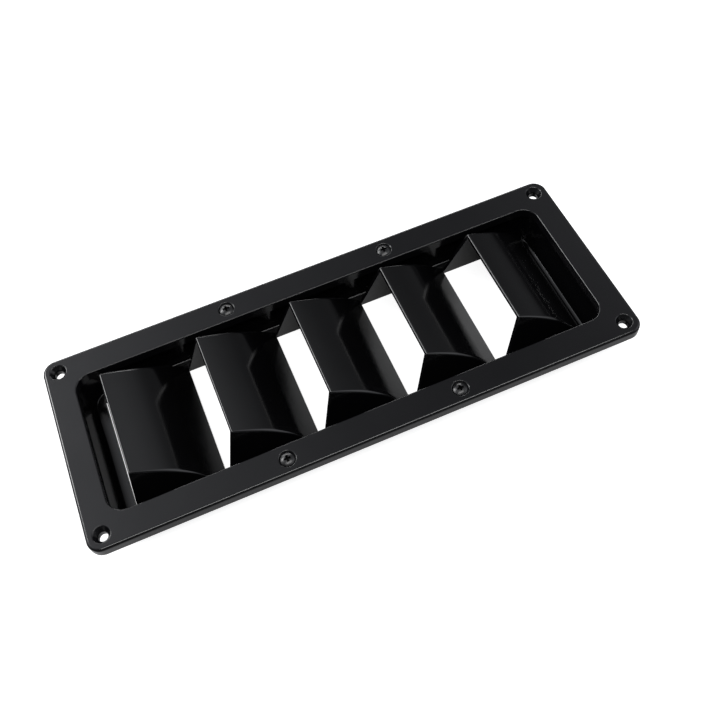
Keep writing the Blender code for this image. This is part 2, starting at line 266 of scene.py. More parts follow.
def linear(colour: str) -> tuple[float, float, float, float]:
    """Turn an sRGB hex colour into linear RGBA.

    Args:
        colour: The colour, such as "#1a1a1c".

    Returns:
        Linear red, green, blue and an alpha of 1.
    """
    channels = []
    for start in (1, 3, 5):
        value = int(colour[start:start + 2], 16) / 255
        if value <= SRGB_TOE:
            channels.append(value / SRGB_TOE_SLOPE)
        else:
            channels.append(((value + SRGB_OFFSET) / (1 + SRGB_OFFSET)) ** SRGB_POWER)
    return (*channels, 1.0)


def add_node(tree: bpy.types.NodeTree, kind: str, settings: dict | None = None,
             inputs: dict | None = None) -> bpy.types.Node:
    """Add a node with its settings, input values and links.

    Args:
        tree: The node tree.
        kind: The node's type, such as "ShaderNodeTexNoise".
        settings: Properties of the node by name.
        inputs: Input sockets by name or number, each with a value or a socket to link.

    Returns:
        The new node.
    """
    node = tree.nodes.new(kind)
    for name, value in (settings or {}).items():
        setattr(node, name, value)
    for name, value in (inputs or {}).items():
        if isinstance(value, bpy.types.NodeSocket):
            tree.links.new(value, node.inputs[name])
        else:
            node.inputs[name].default_value = value
    return node


def per_metre(size_mm: float) -> float:
    """Return the texture scale whose features are size_mm apart."""
    return 1.0 / (size_mm * MM)


def blank_material(name: str) -> tuple[bpy.types.Material, bpy.types.Node, bpy.types.Node]:
    """Start a node material.

    Args:
        name: Name of the material.

    Returns:
        The material, its Principled shader and its output node.
    """
    material = bpy.data.materials.new(name)
    material.use_nodes = True
    tree = material.node_tree
    return material, tree.nodes["Principled BSDF"], tree.nodes["Material Output"]


# Finishes

class MouldSurface(Enum):
    """How the steel mould was finished where the plastic touched it: its roughness."""

    SATIN = 0.17
    POLISHED = 0.14


@dataclass(frozen=True)
class MouldedAbs:
    """Black ABS as it comes from an injection mould."""

    name: str
    surface: MouldSurface
    colour: str = "#0a0a0c"
    cloud_colour: str = "#0d0d0f"
    roughness_spread: float = 0.03
    grain_mm: float = 0.9
    grain_depth: float = 0.006
    flow_mm: float = 38.0
    sink_mm: float = 17.0
    sink_depth: float = 0.06
    flow_detail: float = 3.0
    grain_detail: float = 2.0
    sink_detail: float = 1.0
    flow_band: Pair = (0.3, 0.7)
    ior: float = 1.53

    def material(self) -> bpy.types.Material:
        """Build the material.

        Returns:
            Moulded ABS: near-black with a soft broad reflection. The eye sees a faint
            pebble grain from the mould, slow cloudy changes of gloss where the melt
            flowed, and a slight waviness of the reflection from shrinkage.
        """
        material, shader, _ = blank_material(self.name)
        tree = material.node_tree
        place = add_node(tree, "ShaderNodeTexCoord").outputs["Object"]
        # Real mould grain is about 0.1 mm; it is drawn coarser so that it shows at all
        sizes = ((self.flow_mm, self.flow_detail), (self.grain_mm, self.grain_detail),
                 (self.sink_mm, self.sink_detail))
        flow, grain, sink = (
            add_node(tree, "ShaderNodeTexNoise", None,
                     {"Vector": place, "Scale": per_metre(size), "Detail": detail})
            for size, detail in sizes)
        tint = add_node(tree, "ShaderNodeMix", {"data_type": "RGBA"},
                        {"Factor": flow.outputs["Fac"], MIX_FIRST: linear(self.colour),
                         MIX_SECOND: linear(self.cloud_colour)})
        gloss = add_node(tree, "ShaderNodeMapRange", None,
                         {"Value": flow.outputs["Fac"], "From Min": self.flow_band[0],
                          "From Max": self.flow_band[1],
                          "To Min": self.surface.value - self.roughness_spread,
                          "To Max": self.surface.value + self.roughness_spread})
        waves = add_node(tree, "ShaderNodeBump", None,
                         {"Height": sink.outputs["Fac"], "Distance": self.sink_depth * MM,
                          "Strength": 1.0})
        pebbles = add_node(tree, "ShaderNodeBump", None,
                           {"Height": grain.outputs["Fac"], "Distance": self.grain_depth * MM,
                            "Strength": 1.0, "Normal": waves.outputs["Normal"]})
        shader.inputs["IOR"].default_value = self.ior
        tree.links.new(tint.outputs[MIX_RESULT], shader.inputs["Base Color"])
        tree.links.new(gloss.outputs["Result"], shader.inputs["Roughness"])
        tree.links.new(pebbles.outputs["Normal"], shader.inputs["Normal"])
        return material


@dataclass(frozen=True)
class CoatedScrewSteel:
    """Stainless steel screws under a black baked coating."""

    name: str = "steel_screw_black_coated"
    colour: str = "#08080a"
    worn_colour: str = "#141416"
    roughness: float = 0.30
    orange_peel_mm: float = 0.7
    peel_depth: float = 0.010
    bloom_band: Pair = (0.45, 0.8)
    ior: float = 1.55

    def material(self) -> bpy.types.Material:
        """Build the material.

        Returns:
            Coated steel: glossy black with a fine orange-peel skin, so that the crown
            catches one small bright spot, and a slightly paler bloom in patches.
        """
        material, shader, _ = blank_material(self.name)
        tree = material.node_tree
        place = add_node(tree, "ShaderNodeTexCoord").outputs["Object"]
        peel = add_node(tree, "ShaderNodeTexNoise", None,
                        {"Vector": place, "Scale": per_metre(self.orange_peel_mm)})
        bloom = add_node(tree, "ShaderNodeMapRange", None,
                         {"Value": peel.outputs["Fac"], "From Min": self.bloom_band[0],
                          "From Max": self.bloom_band[1]})
        tint = add_node(tree, "ShaderNodeMix", {"data_type": "RGBA"},
                        {"Factor": bloom.outputs["Result"], MIX_FIRST: linear(self.colour),
                         MIX_SECOND: linear(self.worn_colour)})
        bump = add_node(tree, "ShaderNodeBump", None,
                        {"Height": peel.outputs["Fac"], "Distance": self.peel_depth * MM,
                         "Strength": 1.0})
        shader.inputs["Roughness"].default_value = self.roughness
        shader.inputs["IOR"].default_value = self.ior
        tree.links.new(tint.outputs[MIX_RESULT], shader.inputs["Base Color"])
        tree.links.new(bump.outputs["Normal"], shader.inputs["Normal"])
        return material


@dataclass(frozen=True)
class RecessPaintedShade:
    """Painted shade for a screw's cross recess: a dull, near-black material that stands in for
    the shade inside the hole.
    """

    name: str = "steel_recess_painted_shade"
    # Painted shade: near-black colour for the faces inside the recess.
    colour: str = "#020202"
    grain_colour: str = "#050505"
    roughness: float = 0.75
    specular: float = 0.12
    grain_mm: float = 0.3

    def material(self) -> bpy.types.Material:
        """Build the material.

        Returns:
            Painted shade: dull and almost black, so that the cross reads as a dark hole.
        """
        material, shader, _ = blank_material(self.name)
        tree = material.node_tree
        place = add_node(tree, "ShaderNodeTexCoord").outputs["Object"]
        grain = add_node(tree, "ShaderNodeTexNoise", None,
                         {"Vector": place, "Scale": per_metre(self.grain_mm)})
        tint = add_node(tree, "ShaderNodeMix", {"data_type": "RGBA"},
                        {"Factor": grain.outputs["Fac"], MIX_FIRST: linear(self.colour),
                         MIX_SECOND: linear(self.grain_colour)})
        shader.inputs["Roughness"].default_value = self.roughness
        shader.inputs["Specular IOR Level"].default_value = self.specular
        tree.links.new(tint.outputs[MIX_RESULT], shader.inputs["Base Color"])
        return material


@dataclass(frozen=True)
class WhiteTable:
    """A matt white table that photographs as plain white and keeps a soft shadow. In
    reflections it shows a painted reflection colour.
    """

    name: str = "table_white_matt"
    colour: str = "#c8c8c8"
    glow: float = 0.87
    # Painted reflection: the colours that the plastic's reflections see instead of the board's
    # own, pale near the vent and dark further out.
    reflected_near_colour: str = "#d2d2d2"
    painted_dark_reflection: str = "#101010"
    painted_reflection_reach: Pair = (0.19, 0.30)

    def material(self) -> bpy.types.Material:
        """Build the material.

        Returns:
            White matt board. The camera sees it white with the vent's soft shadow. In the
            plastic's reflections it shows a painted reflection instead of its own colour: pale
            under the vent and painted dark further away.
        """
        material, shader, output = blank_material(self.name)
        tree = material.node_tree
        tree.nodes.remove(shader)
        path = add_node(tree, "ShaderNodeLightPath")
        mirrored = add_node(tree, "ShaderNodeMath", {"operation": "MAXIMUM"},
                            {0: path.outputs["Is Glossy Ray"],
                             1: path.outputs["Is Transmission Ray"]})
        # Painted reflection: glossy and transmission rays see a colour that fades with
        # distance from the vent to painted dark, not the board's colour.
        place = add_node(tree, "ShaderNodeTexCoord").outputs["Object"]
        away = add_node(tree, "ShaderNodeVectorMath", {"operation": "LENGTH"}, {0: place})
        reflection_fade = add_node(tree, "ShaderNodeMapRange", {"interpolation_type": "SMOOTHSTEP"},
                       {"Value": away.outputs["Value"], "From Min": self.painted_reflection_reach[0],
                        "From Max": self.painted_reflection_reach[1]})
        reflected = add_node(tree, "ShaderNodeMix", {"data_type": "RGBA"},
                             {"Factor": reflection_fade.outputs["Result"],
                              MIX_FIRST: linear(self.reflected_near_colour),
                              MIX_SECOND: linear(self.painted_dark_reflection)})
        tint = add_node(tree, "ShaderNodeMix", {"data_type": "RGBA"},
                        {"Factor": mirrored.outputs[0], MIX_FIRST: linear(self.colour),
                         MIX_SECOND: reflected.outputs[MIX_RESULT]})
        board = add_node(tree, "ShaderNodeBsdfDiffuse", None,
                         {"Color": tint.outputs[MIX_RESULT]})
        power = add_node(tree, "ShaderNodeMath", {"operation": "MULTIPLY"},
                         {0: path.outputs["Is Camera Ray"], 1: self.glow})
        glow = add_node(tree, "ShaderNodeEmission", None, {"Strength": power.outputs[0]})
        total = add_node(tree, "ShaderNodeAddShader", None,
                         {0: board.outputs[0], 1: glow.outputs[0]})
        tree.links.new(total.outputs[0], output.inputs["Surface"])
        return material


# Sizes that the pieces share

@dataclass(frozen=True)
class Flange:
    """The outline and the hole pattern that frame and tub share."""

    length: float = 325.0 * MM
    width: float = 123.5 * MM
    corner_radius: float = 8.0 * MM
    end_border: float = 15.7 * MM
    side_border: float = 17.3 * MM
    hole_margin: float = 8.7 * MM
    joining_spacing: float = 102.0 * MM
    shank_radius: float = 1.9 * MM
    hole_clearance: float = 0.8 * MM
    countersink_radius: float = 5.2 * MM
    skirt_wall: float = 2.0 * MM
    opening_radius: float = 9.5 * MM
    rim_wall: float = 2.4 * MM

    @property
    def half(self) -> Pair:
        """Half sizes of the whole flange."""
        return (self.length / 2, self.width / 2)

    @property
    def opening_half(self) -> Pair:
        """Half sizes of the frame's opening."""
        return (self.length / 2 - self.end_border, self.width / 2 - self.side_border)

    @property
    def well_half(self) -> Pair:
        """Half sizes of the well at its top."""
        room = self.skirt_wall + SEAT_GAP
        return (self.opening_half[0] + room, self.opening_half[1] + room)

    @property
    def well_radius(self) -> float:
        """Corner radius of the well."""
        return self.opening_radius + self.skirt_wall + SEAT_GAP

    def holes(self, x_offset: float) -> list[Pair]:
        """Return the four places of a hole pattern at plus and minus x_offset."""
        y_offset = self.width / 2 - self.hole_margin
        return [(x, y) for x in (-x_offset, x_offset) for y in (-y_offset, y_offset)]

    @property
    def corner_holes(self) -> list[Pair]:
        """Centres of the empty holes that fasten the vent to its panel."""
        return self.holes(self.length / 2 - self.hole_margin)

    @property
    def joining_holes(self) -> list[Pair]:
        """Centres of the screws that join the frame to the tub."""
        return self.holes(self.joining_spacing / 2)


def dress(piece: bpy.types.Object, material: bpy.types.Material, node: str) -> None:
    """Give a piece its material in a slot and its body, hide the CAD node that it stands for
    and log it.

    Args:
        piece: The finished piece.
        material: Its material.
        node: Name of the CAD node that it replaces.
    """
    piece.data.materials.clear()
    piece.data.materials.append(material)
    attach(piece, BODY)
    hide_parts(node)
    log.info("%s stands for %s with %d faces", piece.name, node, len(piece.data.polygons))


# Sub-assemblies

@dataclass
class FrontFrame:
    """The front frame: a flat face with an outer rim, an inner skirt and eight holes."""

    flange: Flange
    top: float
    thickness: float = 3.2 * MM
    edge_round: float = 1.8 * MM
    opening_round: float = 0.8 * MM
    lip_round: float = 0.9 * MM
    lip_steps: int = 3
    lip_spread: Pair = (1.4, 3.4)
    throat_round: tuple[Pair, ...] = ((0.12, 0.42), (0.5, 0.0))
    countersink_lean: float = math.radians(45.0)
    skirt_depth: float = 3.0 * MM
    rim_low: float = 22.6 * MM
    finish: MouldedAbs = field(default_factory=lambda: MouldedAbs(
        "abs_frame_satin_moulded", MouldSurface.SATIN))

    @property
    def low(self) -> float:
        """Height of the frame's inner face."""
        return self.top - self.thickness

    def build(self) -> bpy.types.Object:
        """Model the frame.

        Returns:
            The frame as one closed solid.
        """
        flange = self.flange
        piece = plate("front_frame_face", flange.half, flange.corner_radius, self.rim_low,
                      self.top, self.edge_round)
        inside = (flange.half[0] - flange.rim_wall, flange.half[1] - flange.rim_wall)
        hollow = plate("rim_hollow", inside, flange.corner_radius - flange.rim_wall,
                       self.rim_low - OVERCUT, self.low)
        combine(piece, hollow, "DIFFERENCE")
        skirt_half = (flange.opening_half[0] + flange.skirt_wall,
                      flange.opening_half[1] + flange.skirt_wall)
        skirt = plate("skirt", skirt_half, flange.opening_radius + flange.skirt_wall,
                      self.low - self.skirt_depth, self.low + self.thickness / 2)
        combine(piece, skirt, "UNION")
        combine(piece, self.opening_cutter(), "DIFFERENCE")
        holes = [self.countersink_cutter(spot)
                 for spot in flange.corner_holes + flange.joining_holes]
        combine(piece, merged("hole_cutters", holes), "DIFFERENCE")
        finish_normals(piece)
        return piece

    def opening_cutter(self) -> bpy.types.Object:
        """Return the cutter of the opening, flared over its rounded upper edge."""
        half, radius = self.flange.opening_half, self.flange.opening_radius
        shoulder = self.top - self.opening_round
        sections = [rounded_rectangle(half, radius, self.low - self.skirt_depth - OVERCUT),
                    rounded_rectangle(half, radius, shoulder)]
        for flare, rise in quarter_round(self.opening_round):
            size = (half[0] + flare, half[1] + flare)
            sections.append(rounded_rectangle(size, radius + flare, shoulder + rise))
        sections.append([(x, y, self.top + OVERCUT) for x, y, _ in sections[-1]])
        return loft("opening_cutter", sections)

    def countersink_cutter(self, spot: Pair) -> bpy.types.Object:
        """Make the cutter of one hole with its countersink and rounded lip.

        The lip and the cone's foot are shares of lip_round: out and up in lip_spread, out
        and down in throat_round.

        Args:
            spot: Centre of the hole.

        Returns:
            A turned cutter.
        """
        lip, lean = self.lip_round, self.countersink_lean
        shank = self.flange.shank_radius + self.flange.hole_clearance
        rim = self.flange.countersink_radius
        cone_low = self.top - (rim - shank)
        profile = [(shank, self.low - OVERCUT), (shank, cone_low - lip)]
        profile += [(shank + lip * out, cone_low - lip * down)
                    for out, down in self.throat_round]
        profile.append((rim - lip, self.top - lip))
        for step in range(1, self.lip_steps):
            angle = lean * (1 - step / self.lip_steps)
            out = lip * (math.sin(lean) - math.sin(angle)) * self.lip_spread[0]
            up = lip * (math.cos(angle) - math.cos(lean)) * self.lip_spread[1]
            profile.append((rim - lip + out, self.top - lip + up))
        profile += [(rim, self.top), (rim, self.top + OVERCUT)]
        return turned("countersink_cutter", profile, spot)

    def dress(self, piece: bpy.types.Object) -> None:
        """Give the frame its satin plastic."""
        dress(piece, self.finish.material(), "front_frame")


@dataclass
class LouvreTub:
    """The louvre tub: flange, well, screw bosses and five raised hoods in one moulding.

    The back's angle, the crowned roof and its bend, the ridges, the first ledge and the
    floor's fillet differ a little from the solids: they were tried until the reflections
    came nearer to the photograph's.
    """

    flange: Flange
    frame_top: float
    top: float
    flange_low: float = 22.6 * MM
    flange_thickness: float = 3.0 * MM
    skirt_depth: float = 3.0 * MM
    frame_thickness: float = 3.2 * MM
    wall: float = 3.0 * MM
    side_wall: float = 5.8 * MM
    floor: float = 3.5 * MM
    end_draft: float = 5.8 * MM
    side_draft: float = 0.5 * MM
    foot_round: float = 2.5 * MM
    well_fillet: float = 0.8 * MM
    end_fillet_stretch: float = 5.5
    louvres: int = 5
    throat: float = 11.4 * MM
    skin: float = 2.2 * MM
    cheek_land: float = 4.7 * MM
    cheek_slope: float = 0.235
    cheek_edge: float = 0.6 * MM
    roof_angle: float = math.radians(28.5)
    back_angle: float = math.radians(53.0)
    bend_radius: float = 55.0 * MM
    roof_crown: float = math.radians(3.0)
    crowned_bend: float = 68.0 * MM
    nose_round: float = 0.9 * MM
    ridge_front: float = 0.8 * MM
    ridge_back: float = 3.5 * MM
    ridge_growth: float = 0.8
    mouth_step: float = 0.6 * MM
    first_land: float = 1.8 * MM
    first_ledge: float = 5.8 * MM
    last_land: float = 1.5 * MM
    screw_length: float = 14.0 * MM
    boss_wall: float = 2.6 * MM
    boss_floor: float = 1.5 * MM
    boss_edge: float = 0.5 * MM
    bend_steps: int = 16
    nose_steps: int = 8
    ridge_steps: int = 10
    finish: MouldedAbs = field(default_factory=lambda: MouldedAbs(
        "abs_tub_polished_moulded", MouldSurface.POLISHED, colour="#050506",
        cloud_colour="#070708", grain_depth=0.003))

    @property
    def floor_half(self) -> Pair:
        """Half sizes of the well's floor."""
        half = self.flange.well_half
        return (half[0] - self.end_draft, half[1] - self.side_draft)

    @property
    def nose_drop(self) -> float:
        """How far the rounded leading edge's centre lies under its sharp corner."""
        return self.nose_round * (math.tan(self.roof_angle) + 1 / math.cos(self.roof_angle))

    @property
    def leading_height(self) -> float:
        """Height of the sharp corner that the leading edge's rounding takes away."""
        return self.top - self.nose_round + self.nose_drop

    def build(self) -> bpy.types.Object:
        """Model the tub.

        Returns:
            The tub with its hoods as one closed solid.
        """
        flange = self.flange
        inset = flange.rim_wall + SEAT_GAP
        half = (flange.half[0] - inset, flange.half[1] - inset)
        top = self.flange_low + self.flange_thickness
        piece = plate("louvre_tub_moulding", half, flange.corner_radius - inset,
                      self.flange_low, top)
        combine(piece, self.outside(), "UNION")
        bosses = [self.boss(spot) for spot in flange.joining_holes]
        combine(piece, merged("bosses", bosses), "UNION")
        combine(piece, self.well_cutter(), "DIFFERENCE")
        combine(piece, merged("flange_holes", self.hole_cutters()), "DIFFERENCE")
        for foot, leading, trailing in self.hood_places():
            combine(piece, self.hood_outside(foot, leading, trailing), "UNION")
        for foot, leading, trailing in self.hood_places():
            combine(piece, self.hood_inside(foot, leading, trailing), "DIFFERENCE")
        finish_normals(piece)
        return piece

    def outside(self) -> bpy.types.Object:
        """Return the well's outer shape, tapered and rounded at its foot."""
        walls = (self.wall, self.side_wall)
        foot = tuple(half + wall for half, wall in zip(self.floor_half, walls))
        head = tuple(half + wall for half, wall in zip(self.flange.well_half, walls))
        radius = self.flange.well_radius + self.wall
        sections = []
        for inset, rise in reversed(list(quarter_round(self.foot_round))):
            size = (foot[0] - inset, foot[1] - inset)
            sections.append(rounded_rectangle(size, radius - inset, self.foot_round - rise))
        sections.append(rounded_rectangle(foot, radius, self.foot_round))
        top = self.flange_low + self.flange_thickness / 2
        sections.append(rounded_rectangle(head, radius, top))
        return loft("well_outside", sections)

    def well_cutter(self) -> bpy.types.Object:
        """Return the inside of the well, its floor swept up gently at both ends."""
        half, radius, fillet = self.floor_half, self.flange.well_radius, self.well_fillet
        sections = []
        for inset, rise in reversed(list(quarter_round(fillet))):
            size = (half[0] - inset * self.end_fillet_stretch, half[1] - inset)
            z = self.floor + fillet - rise
            sections.append(rounded_rectangle(size, radius - inset, z))
        sections.append(rounded_rectangle(half, radius, self.floor + fillet))
        seat = self.frame_top - self.frame_thickness - self.skirt_depth - SEAT_GAP
        for z in (seat, self.flange_low + self.flange_thickness + OVERCUT):
            sections.append(rounded_rectangle(self.flange.well_half, radius, z))
        return loft("well_cutter", sections)

    @property
    def screw_tip(self) -> float:
        """Height of the joining screws' points."""
        return self.frame_top - self.screw_length

    def boss(self, spot: Pair) -> bpy.types.Object:
        """Return the blind boss under the flange at spot."""
        radius = self.flange.shank_radius + SEAT_GAP + self.boss_wall
        low = self.screw_tip - SEAT_GAP - self.boss_floor
        middle = self.boss_edge * ROUND_MIDDLE
        profile = [(radius - self.boss_edge, low), (radius - middle, low + middle),
                   (radius, low + self.boss_edge),
                   (radius, self.flange_low + self.flange_thickness / 2)]
        return turned("boss", profile, spot)

    def hole_cutters(self) -> list[bpy.types.Object]:
        """Return the cutters of the pilot holes and of the corner holes."""
        top = self.flange_low + self.flange_thickness + OVERCUT
        cutters = []
        pilot = self.flange.shank_radius + SEAT_GAP
        for spot in self.flange.joining_holes:
            profile = [(pilot, self.screw_tip - SEAT_GAP), (pilot, top)]
            cutters.append(turned("pilot_hole", profile, spot))
        clear = self.flange.shank_radius + self.flange.hole_clearance
        for spot in self.flange.corner_holes:
            profile = [(clear, self.flange_low - OVERCUT), (clear, top)]
            cutters.append(turned("corner_hole", profile, spot))
        return cutters

    def hood_places(self) -> list[tuple[float, float, float]]:
        """Return (foot, leading, trailing) X positions of each hood, from -X to +X."""
        end = self.floor_half[0]
        start = -end + self.first_land
        pitch = (end - self.last_land - start) / self.louvres
        places = []
        for index in range(self.louvres):
            before = start + pitch * index
            foot = max(before, -end + self.first_ledge)
            places.append((foot, before + self.throat, before + pitch))
        return places

    def roof_line(self, leading: float, trailing: float, offset: float) -> list[Pair]:
        """Trace a hood's roof and its steeper back, with a round bend between them.

        Args:
            leading: X of the leading edge.
            trailing: X of the back's foot.
            offset: How far the line is moved inwards.

        Returns:
            Points (x, z) from the leading edge to the foot.
        """
        lead_z = self.leading_height - offset / math.cos(self.roof_angle)
        foot_x = trailing - offset / math.sin(self.back_angle)
        fall_roof, fall_back = math.tan(self.roof_angle), math.tan(self.back_angle)
        height = lead_z - self.floor
        run = (fall_back * (foot_x - leading) - height) / (fall_back - fall_roof)
        radius = self.bend_radius - offset
        turn = self.back_angle - self.roof_angle
        tangent = radius * math.tan(turn / 2)
        start = (leading + run - tangent * math.cos(self.roof_angle),
                 lead_z - fall_roof * run + tangent * math.sin(self.roof_angle))
        centre = (start[0] - radius * math.sin(self.roof_angle),
                  start[1] - radius * math.cos(self.roof_angle))
        points = [(leading, lead_z)]
        for step in range(self.bend_steps + 1):
            angle = self.roof_angle + turn * step / self.bend_steps
            points.append((centre[0] + radius * math.sin(angle),
                           centre[1] + radius * math.cos(angle)))
        points.append((foot_x, self.floor))
        return points

    def crowned_line(self, start: Pair, trailing: float) -> list[Pair]:
        """Trace a hood's outside: a faintly crowned roof, a bend and a straight back.

        Args:
            start: X and Z where the leading edge's rounding ends.
            trailing: X of the back's foot.

        Returns:
            Points (x, z) from start to the foot.
        """
        tilts = (self.roof_angle - self.roof_crown, self.roof_angle + self.roof_crown,
                 self.back_angle)
        sines = [math.sin(tilt) for tilt in tilts]
        cosines = [math.cos(tilt) for tilt in tilts]
        turn = tilts[1] - tilts[0]
        along = ((sines[1] - sines[0]) / turn, (cosines[0] - cosines[1]) / turn)
        run = trailing - start[0] - self.crowned_bend * (sines[2] - sines[1])
        fall = start[1] - self.floor - self.crowned_bend * (cosines[1] - cosines[2])
        span = along[0] * sines[2] - along[1] * cosines[2]
        roof_radius = (run * sines[2] - fall * cosines[2]) / span / turn
        points = [start]
        legs = ((roof_radius, tilts[0], tilts[1]), (self.crowned_bend, tilts[1], tilts[2]))
        for radius, first, last in legs:
            corner = points[-1]
            for step in range(1, self.bend_steps + 1):
                tilt = first + (last - first) * step / self.bend_steps
                points.append((corner[0] + radius * (math.sin(tilt) - math.sin(first)),
                               corner[1] - radius * (math.cos(first) - math.cos(tilt))))
        points.append((trailing, self.floor))
        return points

    def cheek_half(self, z: float) -> float:
        """Return half a hood's outside width at height z: the cheeks lean inwards above."""
        foot = self.floor_half[1] - self.cheek_land
        return foot - self.cheek_slope * (z - self.floor)

    def arch(self, head: Pair, foot: Pair, ridge: float, pinch: float) -> list[Point]:
        """Trace one arch across a hood, from its near foot over the roof to its far foot.

        Args:
            head: X and Z of the roof there.
            foot: X and Z of both feet; the arch leans from them to the head.
            ridge: Radius of the two ridges between cheek and roof.
            pinch: How far both cheeks are drawn in.

        Returns:
            The points of the arch.
        """
        height = math.hypot(head[0] - foot[0], head[1] - foot[1])
        lean = math.atan(self.cheek_slope * (head[1] - foot[1]) / height)
        turn = math.pi / 2 - lean
        ridge = min(ridge, height / 2)
        centre_y = self.cheek_half(head[1]) - pinch - ridge * math.tan(turn / 2)
        half_arch = [(self.cheek_half(foot[1]) - pinch, 0.0)]
        for step in range(self.ridge_steps + 1):
            angle = lean + turn * step / self.ridge_steps
            half_arch.append((centre_y + ridge * math.cos(angle),
                              height - ridge + ridge * math.sin(angle)))
        points = []
        for side, part in ((-1, half_arch), (1, half_arch[::-1])):
            for y, up in part:
                share = up / height
                points.append((foot[0] + (head[0] - foot[0]) * share, side * y,
                               foot[1] + (head[1] - foot[1]) * share))
        return points

    def nose_line(self, leading: float) -> list[Pair]:
        """Return points (x, z) of the rounded leading edge, from its front to its roof."""
        centre = (leading + self.nose_round, self.leading_height - self.nose_drop)
        turn = math.pi / 2 + self.roof_angle
        points = []
        for step in range(self.nose_steps + 1):
            angle = math.pi - turn * step / self.nose_steps
            points.append((centre[0] + self.nose_round * math.cos(angle),
                           centre[1] + self.nose_round * math.sin(angle)))
        return points

    def hood_outside(self, foot: float, leading: float, trailing: float) -> bpy.types.Object:
        """Make the outer block of one hood, its mouth and back sunk into the floor.

        The leading edge and the cheeks' front edges are rounded, and the ridges are crisp
        there and grow rounder down the roof.

        Args:
            foot: X of the mouth's foot.
            leading: X of the leading edge.
            trailing: X of the back's foot.

        Returns:
            A closed solid.
        """
        sink = self.floor / 2
        low = self.floor - sink
        step_high = self.mouth_step
        nose = self.nose_line(leading)
        heads = nose + self.crowned_line(nose[-1], trailing)[1:]
        heads[-1] = (trailing + (sink - step_high) / math.tan(self.back_angle),
                     low + step_high)
        lean = (leading - foot - step_high) / (heads[0][1] - self.floor)
        first_foot = foot + step_high - lean * sink
        last_foot = heads[-1][0] + step_high
        nose_foot = first_foot + nose[-1][0] - leading
        sections = []
        for index, head in enumerate(heads):
            advance = head[0] - leading
            if index < len(nose):
                foot_x = first_foot + advance
            else:
                share = (index + 1 - len(nose)) / (len(heads) - len(nose))
                foot_x = nose_foot + (last_foot - nose_foot) * share
            edge_share = max(0.0, 1 - advance / self.cheek_edge)
            pinch = self.cheek_edge * (1 - math.sqrt(1 - edge_share ** 2))
            growth = min(1.0, advance / (trailing - leading) / self.ridge_growth)
            ridge = self.ridge_front + (self.ridge_back - self.ridge_front) * growth
            sections.append(self.arch(head, (foot_x, low), ridge, pinch))
        return loft("hood_outside", sections)

    def hood_inside(self, foot: float, leading: float, trailing: float) -> bpy.types.Object:
        """Return the air path under one hood, open at its mouth and through the floor."""
        roof = self.roof_line(leading, trailing, self.skin)
        mouth_top = (foot, roof[0][1] + (leading - foot) * math.tan(self.roof_angle))
        sill = self.mouth_step
        back_foot = (roof[-1][0] + sill / math.tan(self.back_angle), self.floor - sill)
        outline = [mouth_top] + roof[1:-1]
        outline += [back_foot, (back_foot[0], -OVERCUT), (foot, -OVERCUT)]
        thinner = self.skin * math.hypot(1, self.cheek_slope)
        sections = []
        for side in (-1, 1):
            sections.append([(x, side * (self.cheek_half(z) - thinner), z)
                             for x, z in outline])
        return loft("hood_inside", sections)

    def dress(self, piece: bpy.types.Object) -> None:
        """Give the tub its polished plastic."""
        dress(piece, self.finish.material(), "louvre_tub")


class ScrewPlace(Enum):
    """Where each joining screw sits, in the order of the hole pattern."""

    LEFT_NEAR = "left_near"
    LEFT_FAR = "left_far"
    RIGHT_NEAR = "right_near"
    RIGHT_FAR = "right_far"


